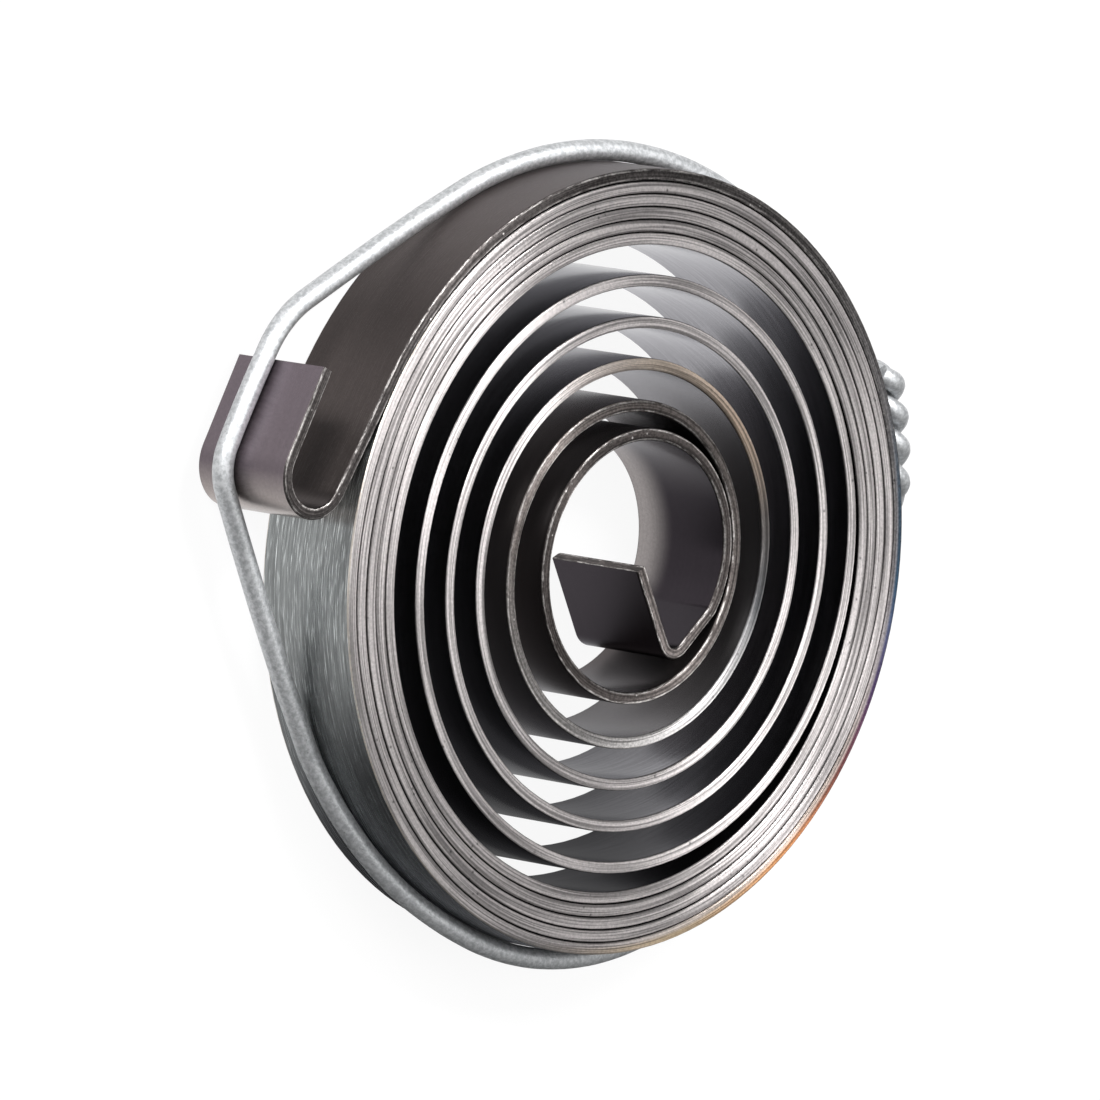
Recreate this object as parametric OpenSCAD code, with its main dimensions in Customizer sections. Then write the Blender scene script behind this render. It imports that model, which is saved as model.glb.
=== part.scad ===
// Flat spiral return spring, wound from steel strip and held shut by a twisted wire.
// It lies flat: the coil axis is Z and the lower strip edges are at z = 0.

/* [Strip] */

// Strip width, which is the height of the coil
strip_width = 8; // [6:0.5:12]
// Strip thickness
strip_thickness = 0.8; // [0.6:0.05:1]

/* [Coil] */

// Outside diameter of the close turns at the rim
coil_diameter = 52; // [48:1:64]
// Close turns at the rim
close_turns = 5; // [3:1:6]
// Open turns between the rim and the core
open_turns = 4; // [3:1:5]
// Inside diameter of the turn round the core
core_diameter = 16.6; // [14:0.2:18]
// Space between close turns
turn_gap = 0.04; // [0.02:0.02:0.12]

/* [Outer hook] */

// Straight run of the strip from the rim to the hook
shank_length = 8.6; // [6:0.2:12]
// Clear width inside the hook
hook_width = 4.2; // [3:0.2:6]
// Straight length of the hook's lip
lip_length = 6.3; // [4:0.1:10]

/* [Inner tab] */

// Straight length of the tab
tab_length = 5.7; // [3:0.1:6]
// Inside radius of the bend at the foot of the tab
tab_bend_radius = 0.7; // [0.5:0.1:1.2]

/* [Retaining wire] */

// Wire diameter
wire_diameter = 1.4; // [1:0.1:1.8]
// Turns of the two twisted ends
twist_turns = 1.9; // [1.5:0.1:2.5]

/* [Hidden] */

function rounded(v) = round(v * 1000) / 1000;

half_thickness = strip_thickness / 2;
close_step = 2 * rounded((strip_thickness + turn_gap) / 8);
close_quarters = 4 * close_turns + 1;
open_quarters = 4 * open_turns + 1;
last_quarter = close_quarters + open_quarters + 3;

// Middle line of the strip as quarter turns, counted inward from the shank
outer_radius = coil_diameter / 2 - half_thickness + close_step;
rim_radius = outer_radius - close_step / 2;
last_close_radius = rim_radius - (close_quarters - 1) * close_step;
core_radius = rounded(core_diameter / 2 + half_thickness);
core_step = rounded(strip_thickness / 10);
open_step = rounded((last_close_radius - core_radius) / (open_quarters + 1.7));

function quarter_radius(k) =
    k < close_quarters ? rounded(rim_radius - k * close_step) :
    k < close_quarters + open_quarters ? rounded(last_close_radius - (k - close_quarters + 1) * open_step) :
    k < last_quarter ? core_radius + (last_quarter - 2 - k) * core_step :
    core_radius - 2 * core_step - 4 * close_step;

// Direction from the axis to the joint where a quarter turn starts
function joint_direction(k) = [[-1, 0], [0, 1], [1, 0], [0, -1]][k % 4];

// Each quarter turn runs on smoothly from the one before
quarter_centres = [
    for (
        k = 0, c = [-close_step / 2, -close_step / 2];
        k <= last_quarter;
        k = k + 1,
        c = c + (quarter_radius(k - 1) - quarter_radius(k)) * joint_direction(k)
    ) [rounded(c[0]), rounded(c[1])]
];

inner_joint = quarter_centres[last_quarter]
    + quarter_radius(last_quarter) * joint_direction(last_quarter + 1);
outer_joint = quarter_centres[0] + quarter_radius(0) * joint_direction(0);
hook_radius = hook_width / 2 + half_thickness;
hook_centre = outer_joint + [-hook_radius, -shank_length];

// The lip leans away from the coil, 7.584 mm in each 99.712 mm
lip_lean = atan2(7.584, 99.712);

// The strip eases away from the turn round it, runs straight and then bends to the tab
tab_lead_radius = 1.2;
tab_lead_angle = atan2(7, 24);
tab_lead_length = 3.3;
tab_bend_angle = 90 + tab_lead_angle;

module strip_section() {
    translate([-half_thickness, 0]) square([strip_thickness, strip_width]);
}

module strip_bend(radius, angle) {
    rotate_extrude(angle = angle, $fn = 96) translate([radius, 0]) strip_section();
}

// A straight run toward -Y, with what follows at its end
module strip_run(length) {
    rotate([90, 0, 0]) linear_extrude(length) strip_section();
    translate([0, -length]) children();
}

// A clockwise turn that starts toward -Y, with what follows at its end
module strip_turn(radius, angle) {
    first = min(angle, 90);
    translate([-radius, 0]) {
        rotate(-first) strip_bend(radius, first);
        rotate(-angle) {
            if (angle > 90) strip_bend(radius, angle - 60);
            translate([radius, 0]) children();
        }
    }
}

module coil_spring() {
    color("silver") union() {
        translate(outer_joint)
            strip_run(shank_length)
            strip_turn(hook_radius, 180 - lip_lean)
            strip_run(lip_length);
        for (k = [0 : last_quarter]) {
            translate(quarter_centres[k]) rotate(90 - 90 * k) strip_bend(quarter_radius(k), 90);
        }
        translate(inner_joint)
            strip_turn(tab_lead_radius, tab_lead_angle)
            strip_run(tab_lead_length)
            strip_turn(tab_bend_radius + half_thickness, tab_bend_angle)
            strip_run(tab_length);
    }
}

wire_radius = wire_diameter / 2;
wire_clearance = 0.02;
wire_offset = half_thickness + wire_radius + wire_clearance;
wire_sides = 8;
twist_foot = 38;
twist_pitch = 3.3 * wire_diameter;
twist_radius = wire_radius + wire_clearance;
twist_arc = twist_turns * twist_pitch / (coil_diameter / 2 + wire_diameter) * 180 / PI;

function direction(angle) = [cos(angle), sin(angle)];
function heading(v) = atan2(v[1], v[0]);
function rim_quarter(angle) = angle > 90 ? 0 : angle > 0 ? 1 : angle > -90 ? 2 : 3;

// A point over the rim: its angle, its distance out from the strip's face and its height
function over_rim(angle, out, height) =
    let (k = rim_quarter(angle))
    let (p = quarter_centres[k] + (quarter_radius(k) + half_thickness + out) * direction(angle))
    [p[0], p[1], height];

// The wire leaves the rim along a line that also touches the hook's bend or the lip's end
bend_wire_radius = 8;
lip_normal = direction(180 + lip_lean);
lip_along = direction(90 + lip_lean);
lip_end = hook_centre + (hook_radius + half_thickness) * lip_normal + lip_length * lip_along;
lip_bend_centre = lip_end - (bend_wire_radius - wire_radius - wire_clearance) * lip_normal;
hook_wire_radius = hook_radius + wire_offset;

function tangent_angle(k, centre, radius, side) =
    let (v = centre - quarter_centres[k])
    heading(v) + side * acos((quarter_radius(k) + wire_offset - radius) / norm(v));

lower_contact = tangent_angle(3, hook_centre, hook_wire_radius, 1);
upper_contact = tangent_angle(0, lip_bend_centre, bend_wire_radius, -1);
lower_angle = lower_contact > 0 ? lower_contact - 360 : lower_contact;
upper_angle = upper_contact < 0 ? upper_contact + 360 : upper_contact;
lean_angle = 180 + lip_lean;

// Height of the wire as a share of the strip's width, by its angle round the rim
function lower_height(angle) = strip_width * lookup(angle, [
    [lower_angle, 0.38], [-112, 0.46], [-98, 0.54], [-86, 0.62], [-70, 0.6],
    [-45, 0.5], [-10, 0.52], [twist_foot, 0.68]
]);
function upper_height(angle) = strip_width * lookup(angle, [
    [twist_foot, 0.41], [60, 0.41], [95, 0.4], [125, 0.34], [upper_angle, 0.29]
]);

function hook_point(centre, radius, angle, share) =
    let (p = centre + radius * direction(angle))
    [p[0], p[1], share * strip_width];

twist_height = 0.67 * strip_width;
twist_rise = 0.13 * strip_width;
twist_steps = ceil(12 * twist_turns);

// One of the two twisted ends, from its foot up to its cut end
function twist_point(i, phase) =
    let (share = i / twist_steps)
    let (turn = phase + 360 * twist_turns * share)
    over_rim(
        twist_foot + twist_arc * share,
        wire_diameter + 2 * wire_clearance - twist_radius * cos(turn),
        twist_height + twist_rise * share - twist_radius * sin(turn)
    );

function steps(from, to, n) = [for (i = [0 : n]) from + (to - from) * i / n];

rim_out = wire_radius + wire_clearance;
wire_path = concat(
    [for (i = [twist_steps : -1 : 0]) twist_point(i, 0)],
    [for (a = steps(twist_foot - 5, lower_angle, 24)) over_rim(a, rim_out, lower_height(a))],
    [for (a = steps(lower_angle + 360, lean_angle, 5)) hook_point(hook_centre, hook_wire_radius, a, 0.39)],
    [for (a = steps(lean_angle, upper_angle, 4)) hook_point(lip_bend_centre, bend_wire_radius, a, 0.4)],
    [for (a = steps(upper_angle, twist_foot + 5, 18)) over_rim(a, rim_out, upper_height(a))],
    [
        over_rim(twist_foot, 1.15 * rim_out, 0.415 * strip_width),
        over_rim(twist_foot - 2.6, 1.9 * rim_out, 0.445 * strip_width),
        over_rim(twist_foot - 3.6, 2.65 * rim_out, 0.525 * strip_width),
        over_rim(twist_foot - 2.2, 3 * rim_out, 0.61 * strip_width)
    ],
    [for (i = [0 : twist_steps]) twist_point(i, 180)]
);

function unit(v) = v / norm(v);

// The ring of points round one point of the wire's middle line
function wire_ring(i) =
    let (last = len(wire_path) - 1)
    let (along = unit(wire_path[min(i + 1, last)] - wire_path[max(i - 1, 0)]))
    let (p = wire_path[i])
    let (across = unit(cross(along, [p[0], p[1], 0])))
    let (out = cross(across, along))
    [for (s = [0 : wire_sides - 1]) let (d = direction((s + 0.5) * 360 / wire_sides))
        p + wire_radius * (d[0] * out + d[1] * across)];

module retaining_wire() {
    last = len(wire_path) - 1;
    n = wire_sides;
    color("lightgray") polyhedron(
        points = [for (i = [0 : last]) each wire_ring(i)],
        faces = concat(
            [[for (s = [0 : n - 1]) s]],
            [for (i = [0 : last - 1]) for (s = [0 : n - 1])
                let (t = (s + 1) % n)
                [i * n + s, i * n + n + s, i * n + n + t, i * n + t]],
            [[for (s = [n - 1 : -1 : 0]) last * n + s]]
        )
    );
}

coil_spring();
retaining_wire();
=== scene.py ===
import math

import bmesh
import bpy
from mathutils import Matrix, Vector


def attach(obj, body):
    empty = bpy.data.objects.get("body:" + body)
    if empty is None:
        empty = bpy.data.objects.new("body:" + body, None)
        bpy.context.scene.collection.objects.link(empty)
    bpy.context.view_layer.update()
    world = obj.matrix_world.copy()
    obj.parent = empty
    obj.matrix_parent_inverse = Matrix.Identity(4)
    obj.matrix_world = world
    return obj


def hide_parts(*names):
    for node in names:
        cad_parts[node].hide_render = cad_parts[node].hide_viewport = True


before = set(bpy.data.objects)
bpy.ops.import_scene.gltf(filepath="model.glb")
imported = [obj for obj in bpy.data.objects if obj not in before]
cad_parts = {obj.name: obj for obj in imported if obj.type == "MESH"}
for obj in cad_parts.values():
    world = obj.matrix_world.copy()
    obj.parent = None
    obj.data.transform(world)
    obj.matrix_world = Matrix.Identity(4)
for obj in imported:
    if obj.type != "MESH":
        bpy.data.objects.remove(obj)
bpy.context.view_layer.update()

mm = 0.001  # sizes below are in millimetres, the scene is in metres


def lookUp(x, table):
    # straight lines between the pairs of a short table
    if x <= table[0][0]:
        return table[0][1]
    for (x0, y0), (x1, y1) in zip(table, table[1:]):
        if x <= x1:
            return y0 + (y1 - y0) * (x - x0) / (x1 - x0)
    return table[-1][1]


def addPiece(name, bm):
    mesh = bpy.data.meshes.new(name)
    bm.to_mesh(mesh)
    bm.free()
    piece = bpy.data.objects.new(name, mesh)
    bpy.context.scene.collection.objects.link(piece)
    return piece


def feed(node, values):
    # what varies is linked to its socket, a constant is set on it
    for key, value in values.items():
        if isinstance(value, nodePin):
            value.tree.links.new(value.socket, node.inputs[key])
        else:
            node.inputs[key].default_value = value


class nodePin:
    # an output socket that takes part in sums
    def __init__(self, tree, socket):
        self.tree = tree
        self.socket = socket

    def make(self, kind, settings, values, output=0):
        node = self.tree.nodes.new(kind)
        for key, value in settings.items():
            if key == "stops":
                ramp = node.color_ramp
                while len(ramp.elements) < len(value):
                    ramp.elements.new(0.5)
                for stop, (place, colour) in zip(ramp.elements, value):
                    stop.position = place
                    stop.color = (*colour, 1)
            else:
                setattr(node, key, value)
        feed(node, values)
        return nodePin(self.tree, node.outputs[output])

    def maths(self, operation, first, second):
        return self.make("ShaderNodeMath", {"operation": operation}, {0: first, 1: second})

    def __add__(self, other):
        return self.maths("ADD", self, other)

    def __radd__(self, other):
        return self.maths("ADD", other, self)

    def __sub__(self, other):
        return self.maths("SUBTRACT", self, other)

    def __rsub__(self, other):
        return self.maths("SUBTRACT", other, self)

    def __mul__(self, other):
        return self.maths("MULTIPLY", self, other)

    def __rmul__(self, other):
        return self.maths("MULTIPLY", other, self)

    def __truediv__(self, other):
        return self.maths("DIVIDE", self, other)

    def __abs__(self):
        return self.maths("ABSOLUTE", self, 0.0)

    def ease(self, low, high, toLow=0.0, toHigh=1.0):
        # a soft step from one level to another
        return self.make("ShaderNodeMapRange", {"interpolation_type": "SMOOTHSTEP"},
                         {0: self, 1: low, 2: high, 3: toLow, 4: toHigh})

    def ramp(self, length, stops):
        # colours by the distance in millimetres, over a length that holds all the stops
        shares = [(place / length, colour) for place, colour in stops]
        return self.make("ShaderNodeValToRGB", {"stops": shares}, {0: self / length})

    def blend(self, under, over):
        # this value as the factor between two colours
        return self.make("ShaderNodeMix", {"data_type": "RGBA"}, {0: self, 6: under, 7: over}, 2)

    def vector(self, x, y, z):
        return self.make("ShaderNodeCombineXYZ", {}, {0: x, 1: y, 2: z})

    def split(self):
        return [self.make("ShaderNodeSeparateXYZ", {}, {0: self}, i) for i in range(3)]

    def noise(self, scale, detail, rough):
        return self.make("ShaderNodeTexNoise", {},
                         {"Vector": self, "Scale": scale, "Detail": detail, "Roughness": rough})

    def cells(self, scale):
        return self.make("ShaderNodeTexVoronoi", {}, {"Vector": self, "Scale": scale})


def newMaterial(name):
    material = bpy.data.materials.new(name)
    material.use_nodes = True
    tree = material.node_tree
    return material, tree.nodes["Principled BSDF"], nodePin(tree, None)


def rgb(r, g, b):
    return (r, g, b, 1.0)


# the photograph looks at the coil from its left, a little from above its middle
cameraSetup = {
    "yaw": 0.78186,
    "pitch": 0.16125,
    "roll": math.radians(-35),
    "distance": 866.67,
    "right": -5.144,
    "up": 1.036,
    "aim": (0, 0, 8),
    "lens": 434.47,
    "sensor": 36,
}

toCamera = (Matrix.Rotation(cameraSetup["pitch"], 3, "X")
            @ Matrix.Rotation(cameraSetup["yaw"], 3, "Y")
            @ Matrix.Rotation(cameraSetup["roll"], 3, "Z"))
fromCamera = toCamera.transposed()
eye = Vector((cameraSetup["right"], cameraSetup["up"], cameraSetup["distance"]))
eyePlace = (fromCamera @ eye + Vector(cameraSetup["aim"])) * mm
cameraData = bpy.data.cameras.new("camera")
cameraData.lens = cameraSetup["lens"]
cameraData.sensor_width = cameraSetup["sensor"]
cameraData.clip_start = 0.01
camera = bpy.data.objects.new("camera", cameraData)
camera.matrix_world = Matrix.LocRotScale(eyePlace, fromCamera, None)
bpy.context.scene.collection.objects.link(camera)
bpy.context.scene.camera = camera
print("camera set")


# the coil: one strip, from the lip of the hook to the end of the tab
strip = {
    "width": 8.0,
    "thickness": 0.8,
    "edgeRadius": 0.16,
    "rimRadius": 25.705,
    "closeStep": 0.21,  # each close quarter turn is this much tighter than the one before
    "closeQuarters": 21,
    "openStep": 0.685,  # the same for the open ones
    "openQuarters": 17,
    "coreRadius": 8.7,
    "coreStep": 0.08,
    "lip": 6.3,
    "lipLean": math.atan2(7.584, 99.712),
    "hookRadius": 2.5,
    "shank": 8.6,
    "leadRadius": 1.2,
    "leadAngle": math.atan2(7, 24),
    "lead": 3.3,
    "foldRadius": 1.1,
    "tab": 5.7,
    "lift": 0.05,  # how much one turn stands above another
    "waves": (37.0, 101.0),  # how quickly that changes along the strip
    "closeFacets": 34,  # flat steps in each close quarter turn, and in the bends below
    "openFacets": 26,
    "hookFacets": 36,
    "leadFacets": 6,
    "foldFacets": 24,
}

lastClose = strip["rimRadius"] - (strip["closeQuarters"] - 1) * strip["closeStep"]
lastQuarter = strip["closeQuarters"] + strip["openQuarters"] + 3
quarterTurn = math.pi / 2


def quarterRadius(k):
    if k < strip["closeQuarters"]:
        return strip["rimRadius"] - k * strip["closeStep"]
    if k < lastQuarter - 3:
        return lastClose - (k - strip["closeQuarters"] + 1) * strip["openStep"]
    if k < lastQuarter:
        return strip["coreRadius"] + (lastQuarter - 2 - k) * strip["coreStep"]
    return strip["coreRadius"] - 2 * strip["coreStep"] - 4 * strip["closeStep"]


outerJoint = Vector((-strip["rimRadius"] - strip["closeStep"] / 2, -strip["closeStep"] / 2, 0))
rimCentres = []
rimCentre = outerJoint + Vector((quarterRadius(0), 0, 0))
for k in range(4):
    rimCentres.append(rimCentre.copy())
    toJoint = Matrix.Rotation(-quarterTurn * (k + 1), 3, "Z") @ Vector((-1, 0, 0))
    rimCentre += (quarterRadius(k) - quarterRadius(k + 1)) * toJoint
hookCentre = outerJoint + Vector((-strip["hookRadius"], -strip["shank"], 0))


def layRun(bm, end, length, steps):
    # the strip goes straight on
    for i in range(steps):
        made = bmesh.ops.extrude_edge_only(bm, edges=end["ring"])["geom"]
        verts = [g for g in made if isinstance(g, bmesh.types.BMVert)]
        fresh = set(verts)
        bmesh.ops.translate(bm, verts=verts, vec=end["heading"] * length / steps)
        end["ring"] = [g for g in made if isinstance(g, bmesh.types.BMEdge) and fresh.issuperset(g.verts)]
        end["travel"] += length / steps
        for vert in verts:
            vert[end["along"]] = end["travel"] * mm
    end["place"] = end["place"] + end["heading"] * length


def layTurn(bm, end, radius, angle, steps):
    # the strip bends, to the left for a positive angle
    sense = math.copysign(1, angle)
    centre = end["place"] + Vector((-end["heading"].y, end["heading"].x, 0)) * sense * radius
    start = end["place"] - centre
    first = len(bm.verts)
    ringVerts = list({v for e in end["ring"] for v in e.verts})
    last = bmesh.ops.spin(bm, geom=ringVerts + end["ring"], cent=centre, axis=(0, 0, 1), angle=angle,
                          steps=steps, use_merge=False, use_duplicate=False)["geom_last"]
    end["ring"] = [g for g in last if isinstance(g, bmesh.types.BMEdge)]

    # how far along the strip each new point lies
    for vert in list(bm.verts)[first:]:
        out = vert.co - centre
        turned = math.atan2(start.x * out.y - start.y * out.x, start.x * out.x + start.y * out.y) * sense
        if turned <= -0.001:
            turned += 2 * math.pi
        vert[end["along"]] = (end["travel"] + radius * turned) * mm
    end["travel"] += radius * abs(angle)
    turn = Matrix.Rotation(angle, 3, "Z")
    end["place"] = centre + turn @ start
    end["heading"] = turn @ end["heading"]


def buildStrip():
    bm = bmesh.new()
    along = bm.verts.layers.float.new("along")
    across = bm.verts.layers.float.new("across")

    # section of the strip: a plate with rounded edges, set up across the lip's end
    bmesh.ops.create_grid(bm, x_segments=1, y_segments=1, size=0.5)
    bmesh.ops.scale(bm, verts=bm.verts, vec=(strip["thickness"], strip["width"], 1))
    bmesh.ops.bevel(bm, geom=bm.verts[:] + bm.edges[:], offset=strip["edgeRadius"], offset_type="OFFSET",
                    segments=3, profile=0.5, affect="VERTICES", material=-1)
    for vert in bm.verts:
        vert[across] = -vert.co.x / (strip["thickness"] / 2)
    lean = strip["lipLean"]
    lipWay = Vector((math.sin(lean), -math.cos(lean), 0))
    lipOut = Matrix.Rotation(lean, 3, "Z") @ Vector((-1, 0, 0))
    lipEnd = hookCentre + lipOut * strip["hookRadius"] - lipWay * strip["lip"]
    place = Matrix((lipOut, (0, 0, 1), lipWay)).transposed().to_4x4()
    place.translation = lipEnd + Vector((0, 0, strip["width"] / 2))
    bmesh.ops.transform(bm, matrix=place, verts=bm.verts)

    end = {"ring": bm.edges[:], "place": lipEnd, "heading": lipWay, "travel": 0.0, "along": along}
    layRun(bm, end, strip["lip"], 4)
    layTurn(bm, end, strip["hookRadius"], math.pi - lean, strip["hookFacets"])
    layRun(bm, end, strip["shank"], 6)
    for k in range(lastQuarter + 1):
        facets = strip["closeFacets"] if k < strip["closeQuarters"] else strip["openFacets"]
        layTurn(bm, end, quarterRadius(k), -quarterTurn, facets)
    layTurn(bm, end, strip["leadRadius"], -strip["leadAngle"], strip["leadFacets"])
    layRun(bm, end, strip["lead"], 3)
    layTurn(bm, end, strip["foldRadius"], -quarterTurn - strip["leadAngle"], strip["foldFacets"])
    layRun(bm, end, strip["tab"], 4)
    bmesh.ops.edgeloop_fill(bm, edges=end["ring"])
    bmesh.ops.recalc_face_normals(bm, faces=bm.faces)

    # no two turns stand exactly level
    slow, quick = strip["waves"]
    for vert in bm.verts:
        wave = math.sin(vert[along] * slow) * math.sin(vert[along] * quick + 1.0)
        vert.co.z += strip["lift"] * (0.5 + 0.5 * wave)
    bmesh.ops.scale(bm, verts=bm.verts, vec=(mm, mm, mm))

    # the finish is laid out by the distance along the strip and across its thickness
    mapping = bm.loops.layers.uv.new("stripMap")
    for face in bm.faces:
        face.smooth = len(face.verts) == 4
        for loop in face.loops:
            loop[mapping].uv = (loop.vert[along], loop.vert[across])
    for face in bm.faces:
        if not face.smooth:
            for edge in face.edges:
                edge.smooth = False
    return bm, end["travel"]


stripMesh, stripLength = buildStrip()
coil = addPiece("coil_strip", stripMesh)
weighted = coil.modifiers.new("flatFaces", "WEIGHTED_NORMAL")
weighted.weight = 100
weighted.keep_sharp = True
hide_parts("coil_spring")
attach(coil, "root")
print("coil laid, strip length in mm", round(stripLength, 1), "faces", len(coil.data.polygons))


# the retaining wire: round the rim, over the hook, and its ends twisted together
# its heights are shares of the strip's width, by the angle round the rim
wire = {
    "diameter": 1.4,
    "clearance": 0.02,
    "bendRadius": 8.0,
    "lowHeights": [(-112, 0.46), (-98, 0.54), (-86, 0.62), (-70, 0.6), (-45, 0.5), (-10, 0.52)],
    "lowEnds": (0.38, 0.68),  # at the hook and at the twist
    "highHeights": [(60, 0.41), (95, 0.4), (125, 0.34)],
    "highEnds": (0.41, 0.29),  # at the twist and at the lip
    "hookHeight": 0.39,
    "lipHeight": 0.4,
    "twistFoot": 38.0,
    "twistTurns": 1.9,
    "twistPitch": 4.62,
    "twistReach": 27.405,  # distance of the twist from the coil's axis
    "twistHeight": 0.67,
    "twistRise": 0.13,
    # the upper end turns back over the lower one: degrees from the twist's foot, half wires out, height
    "crossing": [(0.0, 1.15, 0.415), (-2.6, 1.9, 0.445), (-3.6, 2.65, 0.525), (-2.2, 3.0, 0.61)],
    "leastStep": 0.02,  # points closer than this are one
    "sides": 5,
}


def bearing(degrees):
    return Vector((math.cos(math.radians(degrees)), math.sin(math.radians(degrees)), 0))


def atHeight(share):
    return Vector((0, 0, share * strip["width"]))


def overRim(degrees, out, share):
    # a point beside the rim: its angle, its distance out and its height
    k = 0 if degrees > 90 else 1 if degrees > 0 else 2 if degrees > -90 else 3
    radius = quarterRadius(k) + strip["thickness"] / 2 + out
    return rimCentres[k] + radius * bearing(degrees) + atHeight(share)


def touchAngle(k, centre, radius, side):
    # where a straight stretch of wire leaves the rim for a bend
    apart = centre - rimCentres[k]
    reach = quarterRadius(k) + strip["thickness"] / 2 + wire["diameter"] / 2 + wire["clearance"]
    return math.degrees(math.atan2(apart.y, apart.x) + side * math.acos((reach - radius) / apart.length))


def evenly(first, last, count):
    return [first + (last - first) * i / count for i in range(count + 1)]


def wireRoute():
    foot = wire["twistFoot"]
    beside = wire["diameter"] / 2 + wire["clearance"]
    lean = math.degrees(strip["lipLean"])
    hookFace = strip["hookRadius"] + strip["thickness"] / 2
    lipNormal, lipAlong = bearing(180 + lean), bearing(90 + lean)
    lipTop = hookCentre + hookFace * lipNormal + strip["lip"] * lipAlong
    bendCentre = lipTop - (wire["bendRadius"] - beside) * lipNormal
    low = touchAngle(3, hookCentre, hookFace + beside, 1)
    low = low - 360 if low > 0 else low
    high = touchAngle(0, bendCentre, wire["bendRadius"], -1)
    high = high + 360 if high < 0 else high
    lowHeights = [(low, wire["lowEnds"][0]), *wire["lowHeights"], (foot, wire["lowEnds"][1])]
    highHeights = [(foot, wire["highEnds"][0]), *wire["highHeights"], (high, wire["highEnds"][1])]
    count = math.ceil(12 * wire["twistTurns"])
    arc = math.degrees(wire["twistTurns"] * wire["twistPitch"] / wire["twistReach"])

    def twist(i, phase):
        share = i / count
        turn = math.radians(phase + 360 * wire["twistTurns"] * share)
        height = wire["twistHeight"] + wire["twistRise"] * share
        point = overRim(foot + arc * share, 2 * beside - beside * math.cos(turn), height)
        point.z -= beside * math.sin(turn)
        return point

    def roundBend(centre, reach, degrees, share):
        return centre + reach * bearing(degrees) + atHeight(share)

    route = [twist(i, 0) for i in range(count, -1, -1)]
    route += [overRim(a, beside, lookUp(a, lowHeights)) for a in evenly(foot - 5, low, 24)]
    route += [roundBend(hookCentre, hookFace + beside, a, wire["hookHeight"])
              for a in evenly(low + 360, 180 + lean, 5)]
    route += [roundBend(bendCentre, wire["bendRadius"], a, wire["lipHeight"])
              for a in evenly(180 + lean, high, 4)]
    route += [overRim(a, beside, lookUp(a, highHeights)) for a in evenly(high, foot + 5, 18)]
    route += [overRim(foot + a, out * beside, share) for a, out, share in wire["crossing"]]
    route += [twist(i, 180) for i in range(count + 1)]
    return route


def buildWire():
    curve = bpy.data.curves.new("wireLine", "CURVE")
    curve.dimensions = "3D"
    curve.bevel_depth = wire["diameter"] / 2 * mm
    curve.bevel_resolution = wire["sides"]
    curve.resolution_u = 4
    curve.use_fill_caps = True
    points = wireRoute()
    kept = [points[0]] + [b for a, b in zip(points, points[1:]) if (b - a).length > wire["leastStep"]]
    spline = curve.splines.new("BEZIER")
    spline.bezier_points.add(len(kept) - 1)
    for knot, point in zip(spline.bezier_points, kept):
        knot.co = point * mm
        knot.handle_left_type = knot.handle_right_type = "AUTO"
    line = bpy.data.objects.new("wireLine", curve)
    bpy.context.scene.collection.objects.link(line)
    bpy.context.view_layer.update()
    mesh = bpy.data.meshes.new_from_object(line.evaluated_get(bpy.context.evaluated_depsgraph_get()))
    bpy.data.objects.remove(line)
    bm = bmesh.new()
    bm.from_mesh(mesh)
    bpy.data.meshes.remove(mesh)
    bmesh.ops.remove_doubles(bm, verts=bm.verts, dist=1e-7)
    bmesh.ops.recalc_face_normals(bm, faces=bm.faces)
    for face in bm.faces:
        face.smooth = len(face.verts) == 4
    return bm


tie = addPiece("tie_wire", buildWire())
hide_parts("retaining_wire")
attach(tie, "root")
print("wire bent, faces", len(tie.data.polygons))


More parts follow.
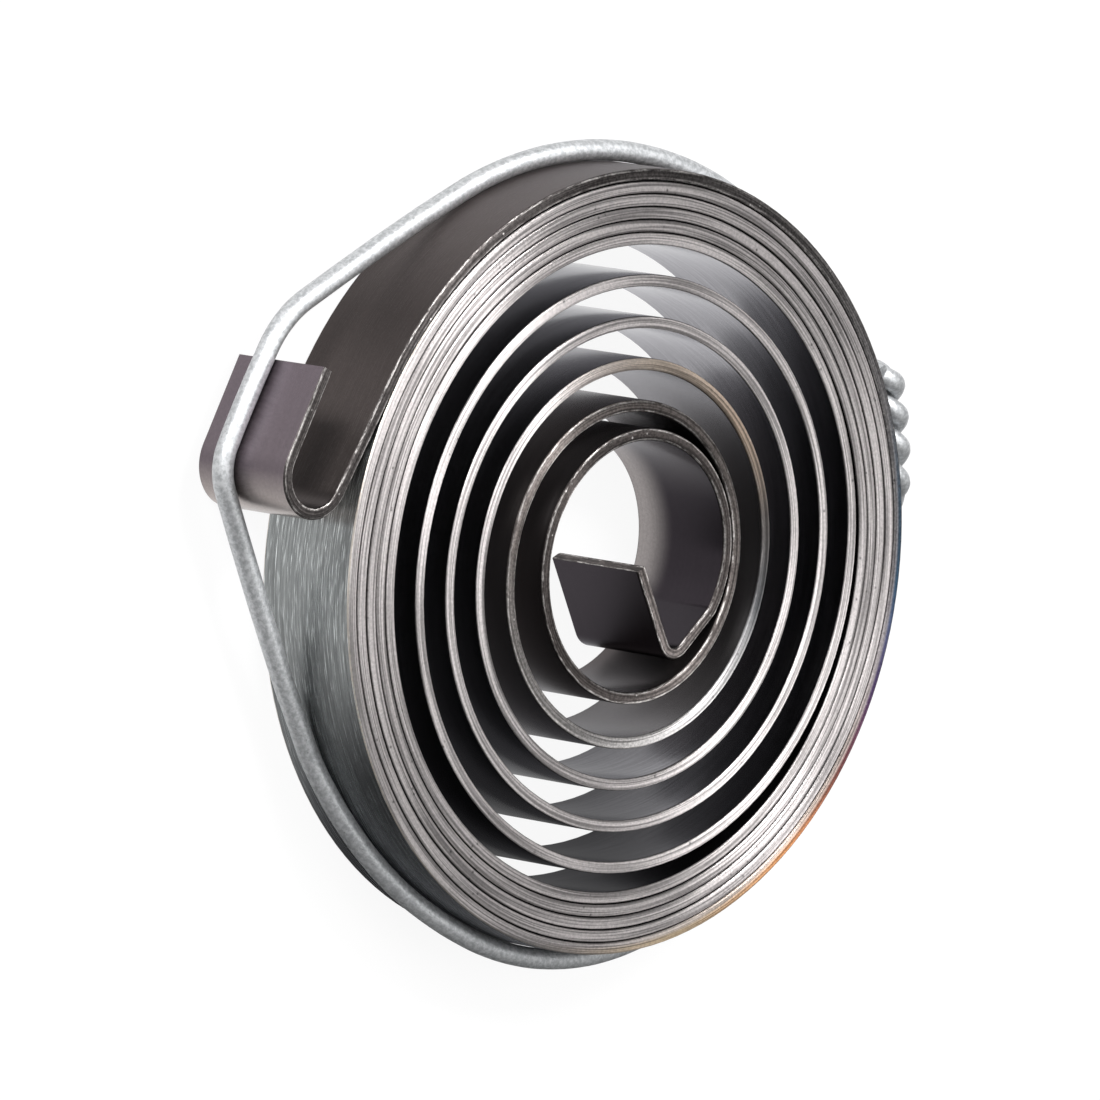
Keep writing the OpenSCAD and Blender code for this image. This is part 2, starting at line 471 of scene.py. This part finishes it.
# spring steel: bright slit edges, rolled faces, and both ends darkened by heat
# places are in millimetres along the strip, from the lip's tip, or from the tab's tip for the core
steel = {
    "hookHeat": (118.0, 138.0),  # where the heated length by the hook ends
    "coreHeat": (158.0, 172.0),  # where the heated length by the core ends
    "rimEnd": (190.0, 184.0),  # where the outermost turn ends
    "dullEdges": (690.0, 830.0),  # the close turns' edges are duller than the open turns'
    # patterns: how many to a millimetre along the strip and up its width, and to half its thickness
    "streaks": (0.12, 5.0, 2.0),
    "dashes": (0.45, 12.5, 3.0),
    "cloud": (0.02, 0.15, 1.0),
    "edgeLines": (0.07, 1.0, 2.4),
    "wear": (0.7, 1.0, 2.0),
    # patterns that run no special way: how many to a metre
    "grain": 5200.0,
    "specks": 1500.0,
    "patches": 470.0,
    "faceRough": 0.1,
    "edgeRough": 0.34,
    "relief": 0.00003,
    "stretch": 0.86,  # how far highlights are drawn out
    "edge": rgb(0.56, 0.525, 0.52),
    "bareMetal": rgb(0.72, 0.69, 0.67),
    "pit": rgb(0.06, 0.055, 0.055),
    # painted highlight: a warm white line along the rim's outer corner
    "rimPaintedHighlight": rgb(0.95, 0.87, 0.79),
    "openInside": rgb(0.25, 0.245, 0.26),
    "openOutside": rgb(0.15, 0.15, 0.155),
    # painted shade: the rim's outer face is darker on its lower stretch
    "rimPaintedShade": rgb(0.15, 0.156, 0.166),
    "rimLight": rgb(0.23, 0.24, 0.24),
    # painted light: a lighter band low on the inner face of the core's innermost turn
    "paintedLightBand": rgb(0.3, 0.275, 0.27),
    # the light band from about 10 to 15 mm, in the bend of the hook, is a painted reflection of the floor;
    # the rest is the steel's own colour
    "lipFace": [
        (0.0, (0.15, 0.124, 0.14)), (7.2, (0.15, 0.124, 0.138)), (10.08, (0.5, 0.45, 0.42)),
        (14.4, (0.62, 0.57, 0.54)), (19.2, (0.1, 0.085, 0.083)),
    ],
    # the darkest stretch, to about 27 mm inside the hook, is painted shade where the lip faces it; the
    # rest is the heated steel's own colour with its heat tint
    "hookFace": [
        (0.0, (0.05, 0.042, 0.04)), (27.0, (0.055, 0.046, 0.044)), (42.0, (0.12, 0.103, 0.1)),
        (75.0, (0.12, 0.112, 0.115)), (91.5, (0.08, 0.1, 0.15)), (99.0, (0.12, 0.07, 0.12)),
        (105.0, (0.19, 0.09, 0.07)), (112.5, (0.28, 0.16, 0.09)), (121.5, (0.26, 0.21, 0.15)),
        (132.0, (0.15, 0.156, 0.166)),
    ],
    "coreFace": [
        (0.0, (0.042, 0.035, 0.041)), (18.9, (0.03, 0.025, 0.03)), (22.5, (0.06, 0.053, 0.057)),
        (27.0, (0.14, 0.13, 0.133)), (43.2, (0.1, 0.086, 0.085)), (90.0, (0.09, 0.077, 0.074)),
        (129.6, (0.18, 0.17, 0.172)), (165.6, (0.25, 0.245, 0.26)),
    ],
    "hookEdge": [
        (0.0, (0.08, 0.072, 0.07)), (45.0, (0.09, 0.081, 0.079)), (66.0, (0.15, 0.14, 0.137)),
        (85.5, (0.22, 0.21, 0.215)), (96.0, (0.24, 0.22, 0.23)), (108.0, (0.4, 0.33, 0.29)),
        (120.0, (0.52, 0.45, 0.4)), (135.0, (0.56, 0.515, 0.51)),
    ],
    "coreEdge": [
        (0.0, (0.08, 0.07, 0.067)), (54.0, (0.095, 0.083, 0.079)), (100.8, (0.15, 0.132, 0.124)),
        (113.4, (0.42, 0.4, 0.39)), (129.6, (0.48, 0.47, 0.47)), (135.9, (0.08, 0.083, 0.088)),
        (142.2, (0.1, 0.09, 0.085)), (148.5, (0.42, 0.33, 0.26)), (158.4, (0.54, 0.46, 0.39)),
        (171.0, (0.56, 0.515, 0.51)),
    ],
    # from grey through blue, purple and orange to straw
    "heatTint": [
        (79.5, (0.12, 0.13, 0.14)), (91.5, (0.06, 0.12, 0.19)), (99.0, (0.1, 0.06, 0.15)),
        (105.0, (0.22, 0.08, 0.07)), (112.5, (0.52, 0.24, 0.1)), (121.5, (0.56, 0.44, 0.3)),
    ],
}


def springSteel():
    material, shader, pin = newMaterial("springSteel")
    mapping = pin.make("ShaderNodeUVMap", {"uv_map": "stripMap"}, {}).split()
    along, across = mapping[0] / mm, mapping[1]
    place = pin.make("ShaderNodeTexCoord", {}, {}, "Object")
    height = place.split()[2] / mm
    face = abs(across).ease(0.94, 0.995)  # 1 on the faces, 0 on the slit edges
    outside = across.ease(-0.05, 0.05)
    fromCore = stripLength - along
    atHook = along.ease(*steel["hookHeat"])  # 0 in the heated length
    atCore = fromCore.ease(*steel["coreHeat"])
    heated = 1.0 - atHook * atCore
    rim = outside * along.ease(*steel["rimEnd"])

    def onFace(counts):
        return pin.vector(along * counts[0], height * counts[1], across * counts[2])

    def onEdge(counts):
        return pin.vector(along * counts[0], across * counts[2], height * counts[1])

    # streaks and lines run along the strip, grain and specks lie on all of it
    streak = onFace(steel["streaks"]).noise(1.0, 3.0, 0.65)
    dashes = onFace(steel["dashes"]).noise(1.0, 2.0, 0.6).ease(0.54, 0.7)
    cloud = onFace(steel["cloud"]).noise(1.0, 1.0, 0.5)
    edgeLines = onEdge(steel["edgeLines"]).noise(1.0, 2.0, 0.6)
    wear = onEdge(steel["wear"]).noise(1.0, 3.0, 0.8).ease(0.43, 0.58)
    grain = place.noise(steel["grain"], 2.0, 0.65).ease(0.3, 0.7)
    specks = place.cells(steel["specks"])
    patches = place.noise(steel["patches"], 1.0, 0.5)
    pits = specks.ease(0.06, 0.22, 1.0, 0.0) * patches.ease(0.54, 0.64)
    burrs = specks.ease(0.05, 0.16, 1.0, 0.0) * patches.ease(0.48, 0.38)

    # colours of the faces: the hook's two sides, the core, the open turns and the rim; some hold painted
    # shade, painted light and a painted reflection, noted below
    hookFace = outside.blend(along.ramp(24.0, steel["lipFace"]), along.ramp(150.0, steel["hookFace"]))
    # painted light: the inner face of the innermost turn is lighter near its bottom edge
    paintedLightBand = (1.0 - outside) * fromCore.ease(34.0, 26.0) * fromCore.ease(10.0, 13.0) * height.ease(3.4, 0.6)
    coreFace = paintedLightBand.blend(fromCore.ramp(180.0, steel["coreFace"]), steel["paintedLightBand"])
    openFace = outside.blend(steel["openInside"], steel["openOutside"])
    # painted shade: the rim's outer face is darker before about 140 to 166 mm, where it lay in shade
    rimFace = along.ease(140.0, 166.0).blend(steel["rimPaintedShade"], steel["rimLight"])
    faceColour = atHook.blend(hookFace, rim.blend(atCore.blend(coreFace, openFace), rimFace))

    # colours of the slit edges, with the heat tint on their outer side
    coreEdge = atCore.blend(fromCore.ramp(180.0, steel["coreEdge"]), steel["edge"])
    edgeColour = atHook.blend(along.ramp(150.0, steel["hookEdge"]), coreEdge)
    tinted = across.ease(-0.5, 0.3) * along.ease(76.0, 86.0) * along.ease(138.0, 122.0)
    edgeColour = tinted.blend(edgeColour, along.ramp(150.0, steel["heatTint"]))

    # worn corners and burrs show bare metal, most of all at the two dark ends
    dark = 1.0 - along.ease(60.0, 110.0) * fromCore.ease(110.0, 130.0)
    corner = abs(across).ease(0.5, 0.7) * (1.0 - abs(across).ease(0.84, 0.95))
    bright = corner * wear * (0.1 + dark * 0.45) + burrs * (1.0 - face) * (0.3 + dark * 0.6)
    edgeColour = bright.blend(edgeColour, steel["bareMetal"])
    edgeColour = (pits * 0.7).blend(edgeColour, steel["pit"])
    # painted highlight: a warm white line along the rim's outer corner
    rimPaintedHighlight = rim * along.ease(128.0, 142.0) * across.ease(0.8, 0.88) * across.ease(0.998, 0.97)
    bare = rimPaintedHighlight.blend(face.blend(edgeColour, faceColour), steel["rimPaintedHighlight"])

    # lines and streaks make it lighter and darker; painted shade darkens the edges' corners, where the
    # turns meet
    paintedCornerShade = 1.0 - abs(across).ease(0.8, 0.97) * atHook * (1.0 - rim) * 0.7
    edgeTone = edgeLines.ease(0.38, 0.62, 0.45, 1.25) * along.ease(*steel["dullEdges"], 0.88, 1.12) * paintedCornerShade
    edgeShade = edgeTone * (0.86 - dark * 0.2 + grain * (0.24 + dark * 0.45))
    plainShade = (1.0 + (streak.ease(0.3, 0.7) - 0.55) * (0.44 - heated * 0.36)) * (0.94 + grain * 0.12)
    rimTone = streak.ease(0.25, 0.75, 0.6, 1.3) * cloud.ease(0.3, 0.7, 0.85, 1.12)
    rimShade = rimTone + dashes * along.ease(138.0, 170.0, 0.5, 2.4)
    brushed = rim * atHook
    faceShade = brushed * rimShade + (1.0 - brushed) * plainShade
    shade = face * faceShade + (1.0 - face) * edgeShade
    colour = pin.make("ShaderNodeVectorMath", {"operation": "SCALE"}, {0: bare, 3: shade})

    faceRough = steel["faceRough"] + streak * 0.06 + rim * 0.14 + heated * 0.12
    edgeRough = steel["edgeRough"] + edgeLines * 0.12 + heated * 0.06
    rough = face * faceRough + (1.0 - face) * edgeRough
    relief = face * rim * dashes * 0.8 + (1.0 - face) * (edgeLines * 0.6 + grain * 0.6)
    bump = pin.make("ShaderNodeBump", {}, {"Strength": 0.3, "Distance": steel["relief"], "Height": relief})
    feed(shader, {"Base Color": colour, "Roughness": rough, "Normal": bump, "Metallic": 1.0,
                  "Specular Tint": rgb(0.95, 0.95, 0.97),
                  "Anisotropic": steel["stretch"], "Anisotropic Rotation": 0.25})
    return material


# soft zinc-coated wire, dull and speckled
zinc = {
    "dark": rgb(0.38, 0.39, 0.4),
    "light": rgb(0.56, 0.57, 0.58),
    "pit": rgb(0.14, 0.14, 0.14),
    "mottle": 3400.0,  # patterns: how many to a metre
    "pits": 2600.0,
    "patches": 500.0,
    "rough": 0.4,
    "relief": 0.00004,
}


def zincWire():
    material, shader, pin = newMaterial("zincWire")
    place = pin.make("ShaderNodeTexCoord", {}, {}, "Object")
    mottle = place.noise(zinc["mottle"], 3.0, 0.7)
    patches = place.noise(zinc["patches"], 2.0, 0.5).ease(0.5, 0.62)
    pits = place.cells(zinc["pits"]).ease(0.02, 0.22, 1.0, 0.0) * patches
    colour = mottle.ease(0.36, 0.64).blend(zinc["dark"], zinc["light"])
    colour = (pits * 0.7).blend(colour, zinc["pit"])
    rough = zinc["rough"] + mottle * 0.2
    bump = pin.make("ShaderNodeBump", {}, {"Strength": 0.5, "Distance": zinc["relief"], "Height": mottle})
    feed(shader, {"Base Color": colour, "Roughness": rough, "Normal": bump, "Metallic": 0.85})
    return material


coil.data.materials.append(springSteel())
tie.data.materials.append(zincWire())
print("metals made")


def whiteToCamera(pin, level):
    # white where the camera looks straight at it, and at this level for the rest
    cameraRay = pin.make("ShaderNodeLightPath", {}, {}, "Is Camera Ray")
    return cameraRay + (1.0 - cameraRay) * level


# white floor; the metal mirrors it, greyer toward the picture's lower side
floorSetup = {
    "size": 1.6,
    "drop": 0.00005,
    "paint": rgb(0.96, 0.96, 0.96),
    "glow": 0.91,  # the rest is painted floor, which keeps the shadow
    "grey": 0.12,
    "fade": (-20.0, -3.0),  # where the grey ends, in millimetres up the picture from the coil's axis
    "upward": (-574.0, 819.0),  # the picture's upward direction, in millimetres for each metre
}


def buildFloor():
    bm = bmesh.new()
    bmesh.ops.create_grid(bm, x_segments=1, y_segments=1, size=floorSetup["size"])
    bmesh.ops.translate(bm, verts=bm.verts, vec=(0, 0, -floorSetup["drop"]))
    floor = addPiece("floor", bm)
    material, shader, pin = newMaterial("paleFloor")
    feed(shader, {"Base Color": floorSetup["paint"], "Roughness": 0.9})
    place = pin.make("ShaderNodeTexCoord", {}, {}, "Object").split()
    up = place[0] * floorSetup["upward"][0] + place[1] * floorSetup["upward"][1]
    mirrored = up.ease(*floorSetup["fade"], floorSetup["grey"], 1.0)
    glow = pin.make("ShaderNodeEmission", {}, {"Color": whiteToCamera(pin, mirrored), "Strength": 1.0})
    direct, glossy, through = [pin.make("ShaderNodeLightPath", {}, {}, f"Is {ray} Ray")
                               for ray in ("Camera", "Glossy", "Transmission")]
    glowing = direct * floorSetup["glow"] + (glossy + through)
    paint = nodePin(material.node_tree, shader.outputs[0])
    mixed = pin.make("ShaderNodeMixShader", {}, {0: glowing, 1: paint, 2: glow})
    feed(material.node_tree.nodes["Material Output"], {"Surface": mixed})
    floor.data.materials.append(material)


buildFloor()
print("floor laid")


# soft studio light: a room that is brighter on one side, and four soft boxes
room = {"bright": 0.52, "dim": 0.27, "towards": (0.665, 0.271, 0.7)}
lamps = {
    "over": {"from": (0.22, 0.21, 0.95), "distance": 0.8, "size": 0.6, "power": 2.2},
    "key": {"from": (-0.92, 0.13, 0.4), "distance": 0.8, "size": 0.3, "power": 5.0},
    "front": {"from": (-0.66, -0.27, 0.7), "distance": 1.3, "size": 0.6, "power": 3.4},
    "sweep": {"from": (-0.23, 0.59, 0.77), "distance": 0.8, "size": 0.3, "power": 7.5},
}


def buildRoom():
    world = bpy.data.worlds.new("studio")
    world.use_nodes = True
    bpy.context.scene.world = world
    pin = nodePin(world.node_tree, None)
    ray = pin.make("ShaderNodeTexCoord", {}, {}, "Generated")
    towards = Vector(room["towards"]).normalized()
    lean = pin.make("ShaderNodeVectorMath", {"operation": "DOT_PRODUCT"}, {0: ray, 1: towards}, 1)
    level = lean.ease(0.4, 0.92, room["dim"], room["bright"])
    feed(world.node_tree.nodes["Background"],
         {"Color": rgb(1, 1, 1), "Strength": whiteToCamera(pin, level)})


def addLamp(name, setup):
    light = bpy.data.lights.new(name, "AREA")
    light.shape = "SQUARE"
    light.size = setup["size"]
    light.energy = setup["power"]
    lamp = bpy.data.objects.new(name, light)
    outwards = Vector(setup["from"]).normalized()
    lamp.location = outwards * setup["distance"]
    lamp.rotation_euler = outwards.to_track_quat("Z", "Y").to_euler()
    bpy.context.scene.collection.objects.link(lamp)


buildRoom()
for name, setup in lamps.items():
    addLamp(name, setup)
bpy.context.scene.view_settings.view_transform = "Standard"
print("light set")
